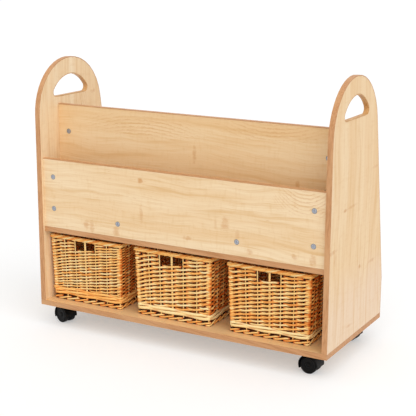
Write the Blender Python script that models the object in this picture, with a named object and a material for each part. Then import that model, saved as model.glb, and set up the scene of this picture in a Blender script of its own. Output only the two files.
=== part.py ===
"""A mobile book storage unit: two arched end panels on a base board, a book pocket along
the front, two book troughs along the rear, a bay with three wicker baskets, and four
hooded twin-wheel castors. Metres, +Z up, front towards -Y, left towards -X. The origin is
on the floor, under the middle of the unit."""

from math import acos, atan2, cos, hypot, pi, radians, sin, sqrt

import bmesh
import bpy
from mathutils import Matrix

# Clearances
GAP = 0.0003

# Facets of small rounded corners, and of round metal and nylon pieces
CORNER_STEPS = 3
ROUND_STEPS = 20

# Boards and their edging
BOARD = 0.015
EDGING = 0.002
SET_BACK = 0.010

# Wicker baskets
BASKET_WIDTH = 0.262
BASKET_DEPTH = 0.2535
BASKET_HEIGHT = 0.204
BASKET_TAPER = 0.0065
BASKET_WALL = 0.009
BASKET_CORNER = 0.008
BASKET_INNER_CORNER = 0.002
BASKET_FLOOR = 0.008
BASKET_FLOOR_RISE = 0.006
RIM_HEIGHT = 0.013
RIM_THICKNESS = 0.013
RIM_STEPS = 8
FOOT_HEIGHT = 0.0135
FOOT_THICKNESS = 0.005
FOOT_ROUNDING = 0.0017
WALE_RISE = 0.018
WALE_HEIGHT = 0.0165
WALE_SLOPE = 0.004
WALE_BULGE = 0.0015
BASKET_HOLE_WIDTH = 0.030
BASKET_HOLE_HEIGHT = 0.022
BASKET_HOLE_STAKE = 0.007

# Bay for the baskets: the gap to the left of each basket, and the room left round them
BASKET_GAPS = (0.001, 0.039, 0.0445)
BAY_RIGHT_GAP = 0.0435
BASKET_FRONT_STEP = 0.0155
BASKET_REAR_ROOM = 0.008
BASKET_HEADROOM = 0.0127

# Book pocket at the front and troughs at the rear
POCKET_DEPTH = 0.069
FRONT_PANEL_HEIGHT = 0.208
DIVIDER_HEIGHT = 0.360
REAR_LIP_HEIGHT = 0.113
TROUGH_DEPTH = 0.073
TROUGH_PANEL_HEIGHT = 0.110

# End panels
END_HEIGHT = 0.727
ARCH_RADIUS = 0.158
ARCH_FRONT_STEPS = 12
ARCH_REAR_STEPS = 8
HOLE_RADIUS = 0.1065
HOLE_SILL = 0.0455
HOLE_FILLET = 0.013
HOLE_ARCH_STEPS = 14
HOLE_FILLET_STEPS = 5

# Cam locks
CAM_RADIUS = 0.0075
CAM_LENGTH = 0.012
CAM_CHAMFER = 0.0006
CAM_SLOT_LENGTH = 0.009
CAM_SLOT_WIDTH = 0.0018
CAM_SLOT_DEPTH = 0.0022
CAM_END_INSET = 0.036
CAM_TOP_DROP = 0.054
CAM_LOW_RISE = 0.058
CAM_SHELF_RISE = 0.039
CAM_SHELF_SPREAD = 0.194
DIVIDER_CAM_DROP = 0.081
DIVIDER_CAM_RISE = 0.060

# Castors
CASTOR_HEIGHT = 0.065
CASTOR_INSET = 0.057
CASTOR_TRAIL = 0.012
WHEEL_RADIUS = 0.025
WHEEL_WIDTH = 0.0165
WHEEL_SEGMENTS = 24
WEB_THICKNESS = 0.008
WEB_HUB_RADIUS = 0.0105
WHEEL_RIM_RADIUS = 0.0215
WHEEL_HUB_RADIUS = 0.0079
WHEEL_CAP_RADIUS = 0.0063
WHEEL_SHOULDER = 0.002
WHEEL_DISH = 0.0029
WHEEL_CAP_STEP = 0.0008
AXLE_RADIUS = 0.003
AXLE_BITE = 0.012
HOOD_THICKNESS = 0.0025
HOOD_CLEARANCE = 0.002
HOOD_START = -8
HOOD_END = 205
HOOD_STEPS = 16
WEB_FOOT_ARC = (225, 315)
WEB_FOOT_STEPS = 4
DRUM_STEPS = 32
AXLE_STEPS = 12
BOSS_RADIUS = 0.010
STEM_RADIUS = 0.004
RACE_RADIUS = 0.012
RACE_FOOT_RADIUS = 0.0102
RACE_HEIGHT = 0.002
PLATE_SIDE = 0.042
PLATE_THICKNESS = 0.0025
PLATE_CORNER = 0.005
SCREW_SPACING = 0.031
SCREW_HEAD_RADIUS = 0.0038
SCREW_HEAD_HEIGHT = 0.0018
SCREW_TIP_RADIUS = 0.0023
SCREW_EDGE_HEIGHT = 0.0006
SCREW_HEAD_STEPS = 10

# Places worked out from the sizes above
BASE_UNDER = CASTOR_HEIGHT
BASE_TOP = BASE_UNDER + BOARD
BAY_WIDTH = len(BASKET_GAPS) * BASKET_WIDTH + sum(BASKET_GAPS) + BAY_RIGHT_GAP
INNER = BAY_WIDTH / 2
OUTER = INNER + BOARD
BASKET_SET_BACK = SET_BACK + BASKET_FRONT_STEP
REAR_PANEL_FRONT = BASKET_SET_BACK + BASKET_DEPTH + BASKET_REAR_ROOM
TROUGH_PANEL_FRONT = REAR_PANEL_FRONT + BOARD + TROUGH_DEPTH
UNIT_DEPTH = TROUGH_PANEL_FRONT + BOARD + SET_BACK
FRONT = -UNIT_DEPTH / 2
SHELF_UNDER = BASE_TOP + GAP + BASKET_HEIGHT + BASKET_HEADROOM
SHELF_TOP = SHELF_UNDER + BOARD
FRONT_PANEL_FRONT = SET_BACK
DIVIDER_FRONT = FRONT_PANEL_FRONT + BOARD + POCKET_DEPTH
BOARD_HALF = INNER - GAP


def clear_scene():
    """Starts from an empty scene, whatever the file held."""
    for old in list(bpy.data.objects):
        bpy.data.objects.remove(old, do_unlink=True)


def finish(name, colour, roughness, metallic):
    """A plain Principled material."""
    material = bpy.data.materials.new(name)
    material.use_nodes = True
    shader = material.node_tree.nodes["Principled BSDF"]
    shader.inputs["Base Color"].default_value = (*colour, 1)
    shader.inputs["Roughness"].default_value = roughness
    shader.inputs["Metallic"].default_value = metallic
    material.diffuse_color = (*colour, 1)
    return material


def mesh_of(bm, name):
    """The mesh of a bmesh, with its faces turned outwards and its round faces smooth."""
    bmesh.ops.recalc_face_normals(bm, faces=bm.faces)
    mesh = bpy.data.meshes.new(name)
    bm.to_mesh(mesh)
    bm.free()
    mesh.shade_smooth()
    mesh.set_sharp_from_angle(angle=radians(35))
    return mesh


def place(name, mesh, material, location=(0, 0, 0), parent=None):
    """An object of its own for a piece, in its material and at its place."""
    piece = bpy.data.objects.new(name, mesh)
    piece.data.materials.clear()
    piece.data.materials.append(material)
    piece.location = location
    piece.parent = parent
    bpy.context.scene.collection.objects.link(piece)
    return piece


def empty(name, location, turn=0.0, parent=None):
    """A guide that carries the pieces of one moving group."""
    guide = bpy.data.objects.new(name, None)
    guide.location = location
    guide.rotation_euler = (0, 0, turn)
    guide.parent = parent
    bpy.context.scene.collection.objects.link(guide)
    return guide


def loft(name, rings, closed=False):
    """Faces between rings of equally many points. The ends get a cap, or, if closed, the
    last ring runs on into the first."""
    bm = bmesh.new()
    loops = [[bm.verts.new(point) for point in ring] for ring in rings]
    joins = list(zip(loops, loops[1:]))
    if closed:
        joins.append((loops[-1], loops[0]))
    else:
        bm.faces.new(loops[0])
        bm.faces.new(loops[-1])
    count = len(rings[0])
    for first, second in joins:
        for i in range(count):
            j = (i + 1) % count
            bm.faces.new((first[i], first[j], second[j], second[i]))
    return mesh_of(bm, name)


def block(name, low, high):
    """A square-edged block between two opposite corners."""
    (x0, y0, z0), (x1, y1, z1) = low, high
    outline = ((x0, y0), (x1, y0), (x1, y1), (x0, y1))
    return loft(name, [[(x, y, z) for x, y in outline] for z in (z0, z1)])


def turned(name, profile, segments, phase=0.0):
    """A profile of (radius, height) points from axis to axis, turned about Z."""
    bm = bmesh.new()
    points = [bm.verts.new((r * cos(phase), r * sin(phase), h)) for r, h in profile]
    edges = [bm.edges.new(pair) for pair in zip(points, points[1:])]
    bmesh.ops.spin(bm, geom=points + edges, cent=(0, 0, 0), axis=(0, 0, 1), angle=2 * pi,
                   steps=segments, use_merge=True, use_duplicate=False)
    bmesh.ops.remove_doubles(bm, verts=bm.verts, dist=1e-6)
    return mesh_of(bm, name)


def rod(name, radius, low, high, segments=16):
    """A plain cylinder along Z."""
    return turned(name, ((0, low), (radius, low), (radius, high), (0, high)), segments)


def moved(mesh, matrix):
    """The mesh itself, moved by a matrix."""
    mesh.transform(matrix)
    return mesh


def carved(mesh, joined=(), cut=()):
    """The mesh with some shapes joined to it and others cut from it."""
    helpers = []
    body = bpy.data.objects.new("carved", mesh)
    bpy.context.scene.collection.objects.link(body)
    for shapes, operation in ((joined, "UNION"), (cut, "DIFFERENCE")):
        for shape in shapes:
            helper = bpy.data.objects.new("shape", shape)
            helper.hide_render = True
            helper.display_type = "WIRE"
            bpy.context.scene.collection.objects.link(helper)
            helpers.append(helper)
            step = body.modifiers.new(operation, "BOOLEAN")
            step.operation = operation
            step.solver = "EXACT"
            step.object = helper
    bpy.context.view_layer.update()
    graph = bpy.context.evaluated_depsgraph_get()
    result = bpy.data.meshes.new_from_object(body.evaluated_get(graph))
    for helper in (body, *helpers):
        bpy.data.objects.remove(helper, do_unlink=True)
    result.shade_smooth()
    result.set_sharp_from_angle(angle=radians(35))
    return result


def arc(centre, radius, start, end, steps):
    """Points along an arc in a plane, from one angle in radians to another."""
    angles = [start + (end - start) * i / steps for i in range(steps + 1)]
    return [(centre[0] + radius * cos(a), centre[1] + radius * sin(a)) for a in angles]


# End panels, seen from the side: depth behind the unit's front, and height from the floor
ARCH_CENTRE = (ARCH_RADIUS, BASE_TOP + END_HEIGHT - ARCH_RADIUS)
KINK_HEIGHT = BASE_TOP + TROUGH_PANEL_HEIGHT


def rear_lean():
    """The angle of the arch at which the leaning rear edge leaves it, to the kink."""
    across = UNIT_DEPTH - ARCH_CENTRE[0]
    down = KINK_HEIGHT - ARCH_CENTRE[1]
    return atan2(down, across) + acos(ARCH_RADIUS / hypot(across, down))


def end_outline(inset):
    """The end panel's edge, drawn in by an inset, from its front foot to its rear foot."""
    lean = rear_lean()
    radius = ARCH_RADIUS - inset
    rear = UNIT_DEPTH - inset
    kink = ARCH_CENTRE[1] + (radius - (rear - ARCH_CENTRE[0]) * cos(lean)) / sin(lean)
    foot = BASE_TOP + GAP
    rise = arc(ARCH_CENTRE, radius, pi, pi / 2, ARCH_FRONT_STEPS)
    fall = arc(ARCH_CENTRE, radius, pi / 2, lean, ARCH_REAR_STEPS)
    return [(inset, foot), *rise, *fall[1:], (rear, kink), (rear, foot)]


def hole_outline(grow):
    """The D of the hand hole, concentric with the arch, let out by some distance."""
    reach = HOLE_RADIUS - HOLE_FILLET
    rise = HOLE_SILL + HOLE_FILLET
    side = sqrt(reach**2 - rise**2)
    turn = atan2(rise, side)
    radius = HOLE_FILLET + grow
    y, z = ARCH_CENTRE
    over = arc(ARCH_CENTRE, HOLE_RADIUS + grow, turn, pi - turn, HOLE_ARCH_STEPS)
    left = arc((y - side, z + rise), radius, pi - turn, 3 * pi / 2, HOLE_FILLET_STEPS)
    right = arc((y + side, z + rise), radius, -pi / 2, turn, HOLE_FILLET_STEPS)
    return [*over, *left[1:], *right[:-1]]


def side_ring(x, outline):
    """A side outline as points of the unit, at one place across it."""
    return [(x, FRONT + y, z) for y, z in outline]


def side_strip(name, outer, inner, low, high, closed):
    """Edging between two outlines, as wide as the board it is glued to."""
    corners = ((low, outer), (high, outer), (high, inner), (low, inner))
    lines = [side_ring(x, outline) for x, outline in corners]
    return loft(name, list(zip(*lines)), closed)


def end_panel(side, low, high, maple, edging):
    """One arched end panel with its hand hole, its edging and the hole's edging."""
    core = end_outline(EDGING + GAP)
    body = loft("end", [side_ring(x, core) for x in (low, high)])
    hole = hole_outline(EDGING + GAP)
    cutter = loft("hole", [side_ring(x, hole) for x in (low - BOARD, high + BOARD)])
    place(side + "_end_panel", carved(body, cut=[cutter]), maple)
    band = side_strip("band", end_outline(0), end_outline(EDGING), low, high, False)
    place(side + "_end_edge_band", band, edging)
    lining = side_strip("lining", hole_outline(0), hole_outline(EDGING), low, high, True)
    place(side + "_hand_hole_band", lining, edging)


def base(maple, edging):
    """The base board, and the edging all round it."""
    def rim(inset):
        x, y = OUTER - inset, -FRONT - inset
        return [(-x, -y), (x, -y), (x, y), (-x, y)]

    core = rim(EDGING + GAP)
    board = [[(x, y, z) for x, y in core] for z in (BASE_UNDER, BASE_TOP)]
    place("base_board", loft("base", board), maple)
    sections = [
        [(*o, BASE_UNDER), (*o, BASE_TOP), (*i, BASE_TOP), (*i, BASE_UNDER)]
        for o, i in zip(rim(0), rim(EDGING))
    ]
    place("base_edge_band", loft("base_band", sections, closed=True), edging)


def cam_mesh():
    """A cam lock, its slotted face at height 0 and its body running up from there."""
    edge = CAM_RADIUS - CAM_CHAMFER
    profile = ((0, 0), (edge, 0), (CAM_RADIUS, CAM_CHAMFER), (CAM_RADIUS, CAM_LENGTH), (0, CAM_LENGTH))
    body = turned("cam", profile, 16)
    long, wide = CAM_SLOT_LENGTH / 2, CAM_SLOT_WIDTH / 2
    low, high = -CAM_SLOT_DEPTH, CAM_SLOT_DEPTH
    along = block("slot", (-long, -wide, low), (long, wide, high))
    across = block("slot", (-wide, -long, low), (wide, long, high))
    return carved(body, cut=[carved(along, joined=[across])])


def upright(name, front, low, height, maple, edging, cams=(), cam=None, zinc=None, label=""):
    """A board that stands across the unit between the end panels, with edging on its top
    edge and cam locks let into its front face, each given as (across, height)."""
    y = FRONT + front
    top = low + height
    core_top = top - EDGING - GAP
    body = block(name, (-BOARD_HALF, y, low + GAP), (BOARD_HALF, y + BOARD, core_top))
    into = Matrix.Rotation(-pi / 2, 4, "X")
    bores = []
    for x, z in cams:
        bore = rod("bore", CAM_RADIUS + GAP, -BOARD / 2, CAM_LENGTH + GAP)
        bores.append(moved(bore, Matrix.Translation((x, y, z)) @ into))
    place(name, carved(body, cut=bores) if bores else body, maple)
    band = block("band", (-BOARD_HALF, y, top - EDGING), (BOARD_HALF, y + BOARD, top))
    place(label + "_edge_band", band, edging)
    for number, (x, z) in enumerate(cams, 1):
        piece = place(f"{label}_cam_lock_{number}", cam, zinc, (x, y, z))
        piece.rotation_euler = (-pi / 2, 0, 0)


def shelf(maple, edging):
    """The shelf over the baskets, on which the books in the front pocket stand."""
    front, rear = FRONT + SET_BACK, FRONT + REAR_PANEL_FRONT - GAP
    core = front + EDGING + GAP
    board = block("shelf", (-BOARD_HALF, core, SHELF_UNDER), (BOARD_HALF, rear, SHELF_TOP))
    place("basket_shelf", board, maple)
    low, high = (-BOARD_HALF, front, SHELF_UNDER), (BOARD_HALF, front + EDGING, SHELF_TOP)
    place("shelf_edge_band", block("shelf_band", low, high), edging)


def boards(maple, edging, zinc):
    """All boards of the unit, with their edging and cam locks."""
    cam = cam_mesh()
    end = INNER - CAM_END_INSET
    base(maple, edging)
    end_panel("left", -OUTER, -INNER, maple, edging)
    end_panel("right", INNER, OUTER, maple, edging)
    shelf(maple, edging)
    high = SHELF_TOP + FRONT_PANEL_HEIGHT - CAM_TOP_DROP
    low = SHELF_TOP + CAM_LOW_RISE
    foot = SHELF_TOP + CAM_SHELF_RISE
    front_cams = ((-end, high), (-end, low), (end, high), (end, low),
                  (-CAM_SHELF_SPREAD, foot), (CAM_SHELF_SPREAD, foot))
    upright("front_book_panel", FRONT_PANEL_FRONT, SHELF_TOP, FRONT_PANEL_HEIGHT, maple, edging,
            front_cams, cam, zinc, "front_panel")
    high = SHELF_TOP + DIVIDER_HEIGHT - DIVIDER_CAM_DROP
    low = SHELF_TOP + DIVIDER_CAM_RISE
    divider_cams = ((-end, high), (-end, low), (end, high), (end, low))
    upright("book_divider", DIVIDER_FRONT, SHELF_TOP, DIVIDER_HEIGHT, maple, edging,
            divider_cams, cam, zinc, "divider")
    rear_height = SHELF_TOP + REAR_LIP_HEIGHT - BASE_TOP
    upright("rear_book_panel", REAR_PANEL_FRONT, BASE_TOP, rear_height, maple, edging,
            label="rear_panel")
    upright("rear_trough_panel", TROUGH_PANEL_FRONT, BASE_TOP, TROUGH_PANEL_HEIGHT, maple, edging,
            label="rear_trough")


# Baskets, in their own frame: the middle of the basket's underside
def basket_ring(z, offset):
    """The basket's outline at a height, a rounded rectangle that widens upwards, let out
    from the wall's outer face by an offset."""
    overhang = (RIM_THICKNESS - BASKET_WALL) / 2
    spread = BASKET_TAPER * (z / BASKET_HEIGHT - 1) - overhang
    radius = max(BASKET_CORNER + offset, BASKET_INNER_CORNER)
    x = BASKET_WIDTH / 2 + spread + offset - radius
    y = BASKET_DEPTH / 2 + spread + offset - radius
    ring = []
    for i, (sx, sy) in enumerate(((1, 1), (-1, 1), (-1, -1), (1, -1))):
        ring += arc((sx * x, sy * y), radius, i * pi / 2, (i + 1) * pi / 2, CORNER_STEPS)
    return [(px, py, z) for px, py in ring]


def basket_meshes():
    """The woven body with its hand holes, the border round its top and the one round its
    foot."""
    wall_top = BASKET_HEIGHT - RIM_HEIGHT - GAP
    foot_top = FOOT_HEIGHT + GAP
    behind = -FOOT_THICKNESS - GAP
    floor_top = BASKET_FLOOR_RISE + BASKET_FLOOR
    wale_top = WALE_RISE + WALE_HEIGHT
    body = loft("basket", [
        basket_ring(BASKET_FLOOR_RISE, behind - BASKET_WALL / 2),
        basket_ring(0, behind - BASKET_WALL / 2),
        basket_ring(0, behind),
        basket_ring(foot_top, behind),
        basket_ring(foot_top, 0),
        basket_ring(WALE_RISE, 0),
        basket_ring(WALE_RISE + WALE_SLOPE, WALE_BULGE),
        basket_ring(wale_top - WALE_SLOPE, WALE_BULGE),
        basket_ring(wale_top, 0),
        basket_ring(wall_top, 0),
        basket_ring(wall_top, -BASKET_WALL),
        basket_ring(floor_top, -BASKET_WALL),
    ])
    sill = wall_top - BASKET_HOLE_HEIGHT
    near = BASKET_HOLE_STAKE / 2
    far = near + BASKET_HOLE_WIDTH
    through = BASKET_DEPTH
    holes = [
        block("hole", (x, -through, sill), (x + BASKET_HOLE_WIDTH, through, wall_top + RIM_HEIGHT))
        for x in (-far, near)
    ]
    middle = -BASKET_WALL / 2
    centre = BASKET_HEIGHT - RIM_HEIGHT / 2
    section = arc((middle, centre), 1, 0, 2 * pi, RIM_STEPS)[:-1]
    rim = loft("rim", [
        basket_ring(centre + (v - centre) * RIM_HEIGHT / 2, middle + (u - middle) * RIM_THICKNESS / 2)
        for u, v in section
    ], closed=True)
    foot = loft("foot", [
        basket_ring(0, -FOOT_THICKNESS),
        basket_ring(0, -FOOT_ROUNDING),
        basket_ring(FOOT_ROUNDING, 0),
        basket_ring(FOOT_HEIGHT - FOOT_ROUNDING, 0),
        basket_ring(FOOT_HEIGHT, -FOOT_ROUNDING),
        basket_ring(FOOT_HEIGHT, -FOOT_THICKNESS),
    ], closed=True)
    return {"body": carved(body, cut=holes), "rim": rim, "foot": foot}


def baskets(wicker):
    """Three like baskets side by side on the base board."""
    meshes = basket_meshes()
    left = -INNER
    for side, gap in zip(("left", "middle", "right"), BASKET_GAPS):
        left += gap
        middle = (left + BASKET_WIDTH / 2, FRONT + BASKET_SET_BACK + BASKET_DEPTH / 2, BASE_TOP + GAP)
        guide = empty(side + "_basket_place", middle)
        for piece, mesh in meshes.items():
            place(f"{side}_basket_{piece}", mesh, wicker, parent=guide)
        left += BASKET_WIDTH


# Castors, in their own frame: on the swivel's axis, on the floor, rolling along X
AXLE_HEIGHT = WHEEL_RADIUS * cos(pi / WHEEL_SEGMENTS)
AXLE_PLACE = Matrix.Translation((-CASTOR_TRAIL, 0, AXLE_HEIGHT)) @ Matrix.Rotation(-pi / 2, 4, "X")
WHEEL_OUTWARD = WEB_THICKNESS / 2 + GAP
HALF_TRACK = WHEEL_OUTWARD + WHEEL_WIDTH


def wheel_mesh():
    """A wheel with its inner face at height 0: a blind bore, a hub, a dished rim, a tread
    with rounded shoulders, and a round cap."""
    bore = AXLE_RADIUS + GAP
    width, rim = WHEEL_WIDTH, WHEEL_RIM_RADIUS
    profile = (
        (0, AXLE_BITE + GAP),
        (bore, AXLE_BITE + GAP),
        (bore, 0),
        (rim, 0),
        (WHEEL_RADIUS, WHEEL_SHOULDER),
        (WHEEL_RADIUS, width - WHEEL_SHOULDER - WHEEL_CAP_STEP),
        (rim, width),
        (rim - WHEEL_SHOULDER, width - WHEEL_SHOULDER),
        (WHEEL_HUB_RADIUS, width - WHEEL_DISH),
        (WHEEL_CAP_RADIUS, width - WHEEL_CAP_STEP),
        (0, width - WHEEL_CAP_STEP / 2),
    )
    return turned("wheel", profile, WHEEL_SEGMENTS, phase=pi / WHEEL_SEGMENTS)


def castor_body_mesh():
    """The nylon body: a web that holds the axle, a hood over both wheels, and a boss with
    the stem on which it all swivels."""
    inner = WHEEL_RADIUS + HOOD_CLEARANCE
    outer = inner + HOOD_THICKNESS
    start, end, steps = radians(HOOD_START), radians(HOOD_END), HOOD_STEPS
    centre = (-CASTOR_TRAIL, AXLE_HEIGHT)
    hood_line = [*arc(centre, outer, start, end, steps), *arc(centre, inner, end, start, steps)]
    hood = loft("hood", [[(x, y, z) for x, z in hood_line] for y in (-HALF_TRACK, HALF_TRACK)])
    middle = inner + HOOD_THICKNESS / 2
    foot = arc(centre, WEB_HUB_RADIUS, *map(radians, WEB_FOOT_ARC), WEB_FOOT_STEPS)
    web_line = [*arc(centre, middle, start, end, steps), *foot]
    half = WEB_THICKNESS / 2
    web = loft("web", [[(x, y, z) for x, z in web_line] for y in (-half, half)])
    boss_top = CASTOR_HEIGHT - PLATE_THICKNESS - RACE_HEIGHT - 2 * GAP
    stem_top = CASTOR_HEIGHT - 2 * GAP
    stem = turned("stem", (
        (0, AXLE_HEIGHT),
        (BOSS_RADIUS, AXLE_HEIGHT),
        (BOSS_RADIUS, boss_top),
        (STEM_RADIUS, boss_top),
        (STEM_RADIUS, stem_top),
        (0, stem_top),
    ), ROUND_STEPS)
    drum = moved(rod("drum", middle, -CASTOR_HEIGHT, CASTOR_HEIGHT, DRUM_STEPS), AXLE_PLACE)
    stem = carved(stem, cut=[drum])
    bore = moved(rod("bore", AXLE_RADIUS + GAP, -BOARD, BOARD), AXLE_PLACE)
    return carved(hood, joined=[web, stem], cut=[bore])


def castor_plate_mesh():
    """The steel plate under the base board, with the ball race pressed down in its middle
    and the heads of its four screws."""
    top = CASTOR_HEIGHT - GAP
    under = top - PLATE_THICKNESS
    half = PLATE_SIDE / 2 - PLATE_CORNER
    outline = []
    for i, (sx, sy) in enumerate(((1, 1), (-1, 1), (-1, -1), (1, -1))):
        outline += arc((sx * half, sy * half), PLATE_CORNER, i * pi / 2, (i + 1) * pi / 2, CORNER_STEPS)
    plate = loft("plate", [[(x, y, z) for x, y in outline] for z in (under, top)])
    sunk = under + PLATE_THICKNESS / 2
    race = turned("race", (
        (0, under - RACE_HEIGHT),
        (RACE_FOOT_RADIUS, under - RACE_HEIGHT),
        (RACE_RADIUS, under),
        (RACE_RADIUS, sunk),
        (0, sunk),
    ), ROUND_STEPS)
    heads = []
    for x in (-SCREW_SPACING / 2, SCREW_SPACING / 2):
        for y in (-SCREW_SPACING / 2, SCREW_SPACING / 2):
            head = turned("head", (
                (0, under - SCREW_HEAD_HEIGHT),
                (SCREW_TIP_RADIUS, under - SCREW_HEAD_HEIGHT),
                (SCREW_HEAD_RADIUS, under - SCREW_EDGE_HEIGHT),
                (SCREW_HEAD_RADIUS, sunk),
                (0, sunk),
            ), SCREW_HEAD_STEPS)
            heads.append(moved(head, Matrix.Translation((x, y, 0))))
    socket = rod("socket", STEM_RADIUS + GAP, under - 2 * RACE_HEIGHT, top + PLATE_THICKNESS, ROUND_STEPS)
    return carved(plate, joined=[race, *heads], cut=[socket])


def castors(black, steel):
    """Four like castors near the corners, each turned as it was left standing."""
    body, plate, wheel = castor_body_mesh(), castor_plate_mesh(), wheel_mesh()
    reach = WHEEL_OUTWARD + AXLE_BITE
    axle = rod("axle", AXLE_RADIUS, -reach, reach, AXLE_STEPS)
    turns = {"front_left": -17.5, "front_right": -4, "rear_left": -12, "rear_right": -8}
    for corner, turn in turns.items():
        x = (OUTER - CASTOR_INSET) * (-1 if "left" in corner else 1)
        y = (-FRONT - CASTOR_INSET) * (-1 if "front" in corner else 1)
        place("castor_plate_" + corner, plate, steel, (x, y, 0))
        guide = empty("castor_swivel_" + corner, (x, y, 0), radians(turn))
        place("castor_body_" + corner, body, black, parent=guide)
        pin = place("castor_axle_" + corner, axle, steel, (-CASTOR_TRAIL, 0, AXLE_HEIGHT), guide)
        pin.rotation_euler = (-pi / 2, 0, 0)
        for hand, facing in (("inner", 1), ("outer", -1)):
            hub = (-CASTOR_TRAIL, facing * WHEEL_OUTWARD, AXLE_HEIGHT)
            roller = place(f"castor_wheel_{hand}_{corner}", wheel, black, hub, guide)
            roller.rotation_euler = (-facing * pi / 2, 0, 0)


def build():
    clear_scene()
    maple = finish("maple_board", (0.84, 0.62, 0.36), 0.45, 0)
    edging = finish("brown_edging", (0.52, 0.28, 0.12), 0.5, 0)
    zinc = finish("zinc_cam", (0.5, 0.53, 0.58), 0.35, 1)
    wicker = finish("wicker", (0.72, 0.36, 0.10), 0.6, 0)
    black = finish("black_nylon", (0.012, 0.012, 0.013), 0.45, 0)
    steel = finish("bright_steel", (0.56, 0.56, 0.57), 0.35, 1)
    boards(maple, edging, zinc)
    baskets(wicker)
    castors(black, steel)


build()
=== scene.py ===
"""The finished look of a mobile book storage unit with wicker baskets, built round its
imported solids. Metres, +Z up, front towards -Y, origin on the floor under its middle."""
from collections import namedtuple
from math import cos, pi, radians, sin
from random import Random

import bpy
import numpy as np
from mathutils import Matrix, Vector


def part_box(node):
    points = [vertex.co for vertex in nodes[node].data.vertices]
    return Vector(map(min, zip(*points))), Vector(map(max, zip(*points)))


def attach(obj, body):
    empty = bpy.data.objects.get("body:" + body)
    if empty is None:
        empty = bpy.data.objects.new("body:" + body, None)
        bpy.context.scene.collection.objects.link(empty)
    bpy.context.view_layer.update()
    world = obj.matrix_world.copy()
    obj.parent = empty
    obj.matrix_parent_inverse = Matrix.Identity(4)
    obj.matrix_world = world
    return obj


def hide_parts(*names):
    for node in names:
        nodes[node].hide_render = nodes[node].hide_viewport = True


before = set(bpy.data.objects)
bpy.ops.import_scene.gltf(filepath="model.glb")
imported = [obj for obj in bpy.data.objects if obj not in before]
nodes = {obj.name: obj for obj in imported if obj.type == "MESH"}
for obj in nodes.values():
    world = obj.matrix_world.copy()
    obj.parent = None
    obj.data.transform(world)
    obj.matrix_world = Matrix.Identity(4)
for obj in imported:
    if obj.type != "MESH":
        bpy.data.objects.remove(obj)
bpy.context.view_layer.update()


# The studio. A wide pale floor under a soft white sky, one broad soft light from the right
# front and above, and the camera to the right of the unit's front and above its top.
CAMERA_PLACE = (1.52005, -2.73204, 1.14625)
CAMERA_TURN, CAMERA_TILT, CAMERA_ROLL = radians(29.108), radians(13.726), radians(0.204)
CAMERA_LENS, CAMERA_SENSOR = 94.57, 36
FLOOR_HALF = 40
FLOOR_GREY, FLOOR_WHITE, FLOOR_GLOW = 0.76, 0.68, 0.35
FLOOR_ROUGHNESS = 0.9
SKY_LIGHT = 0.66
LAMP_STRENGTH = 1.62
LAMP_SPREAD = radians(70)
LAMP_TURN, LAMP_LEAN = radians(44), radians(48)


class Tone:
    """A socket of a material's nodes. Sums and products of tones add Math nodes."""

    def __init__(self, tree, socket=None):
        self.tree = tree
        self.socket = socket

    def add(self, kind, settings, sockets, output=0):
        """Any node: its settings, with a colour ramp's stops among them, and then the
        values or links of its sockets."""
        node = self.tree.nodes.new("ShaderNode" + kind)
        stops = settings.pop("stops", None)
        for name, value in settings.items():
            setattr(node, name, value)
        if stops:
            ramp = node.color_ramp.elements
            while len(ramp) < len(stops):
                ramp.new(0.5)
            for element, (position, shade) in zip(ramp, stops):
                element.position = position
                element.color = shade
        for name, value in sockets.items():
            if isinstance(value, Tone):
                self.tree.links.new(value.socket, node.inputs[name])
            else:
                node.inputs[name].default_value = value
        return Tone(self.tree, node.outputs[output])

    def maths(self, operation, first, second=0.0):
        return self.add("Math", {"operation": operation}, {0: first, 1: second})

    def __add__(self, other):
        return self.maths("ADD", self, other)

    def __radd__(self, other):
        return self.maths("ADD", other, self)

    def __sub__(self, other):
        return self.maths("SUBTRACT", self, other)

    def __rsub__(self, other):
        return self.maths("SUBTRACT", other, self)

    def __mul__(self, other):
        return self.maths("MULTIPLY", self, other)

    def __rmul__(self, other):
        return self.maths("MULTIPLY", other, self)

    def between(self, low, high):
        """0 on the low side and 1 on the high side of the two values, smooth between."""
        return self.add("MapRange", {"interpolation_type": "SMOOTHSTEP"},
                        {"Value": self, "From Min": low, "From Max": high})

    def mix(self, first, second):
        """One colour where this tone is 0, and the other where it is 1."""
        return self.add("Mix", {"data_type": "RGBA"}, {0: self, 6: first, 7: second}, 2)


def grey(level):
    """A grey of that linear value."""
    return level, level, level, 1


def material(name, metallic=0.0):
    """A new material: its shader's sockets and a tone to start its nodes from."""
    made = bpy.data.materials.new(name)
    made.use_nodes = True
    shader = made.node_tree.nodes["Principled BSDF"]
    shader.inputs["Metallic"].default_value = metallic
    return made, shader.inputs, Tone(made.node_tree)


def feed(tone, socket):
    """Leads a tone into a socket of the shader."""
    tone.tree.links.new(tone.socket, socket)


def seen_ray(start):
    """1 for a ray from the camera, or one mirrored or bent on its way from it."""
    kinds = [start.add("LightPath", {}, {}, "Is " + kind + " Ray")
             for kind in ("Camera", "Glossy", "Transmission")]
    return start.maths("MAXIMUM", start.maths("MAXIMUM", kinds[0], kinds[1]), kinds[2])


floor_mesh = bpy.data.meshes.new("floor")
floor_mesh.from_pydata([(x * FLOOR_HALF, y * FLOOR_HALF, 0)
                        for x, y in ((-1, -1), (1, -1), (1, 1), (-1, 1))], [], [(0, 1, 2, 3)])
floor = bpy.data.objects.new("floor", floor_mesh)
bpy.context.scene.collection.objects.link(floor)
floor_paint, sockets, start = material("floor_paint")
seen = seen_ray(start)
feed(seen.mix(grey(FLOOR_GREY), grey(FLOOR_WHITE)), sockets["Base Color"])
feed(seen.mix(grey(0), grey(FLOOR_GLOW)), sockets["Emission Color"])
sockets["Emission Strength"].default_value = 1
sockets["Roughness"].default_value = FLOOR_ROUGHNESS
sockets["Specular IOR Level"].default_value = 0
floor_mesh.materials.append(floor_paint)

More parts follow.
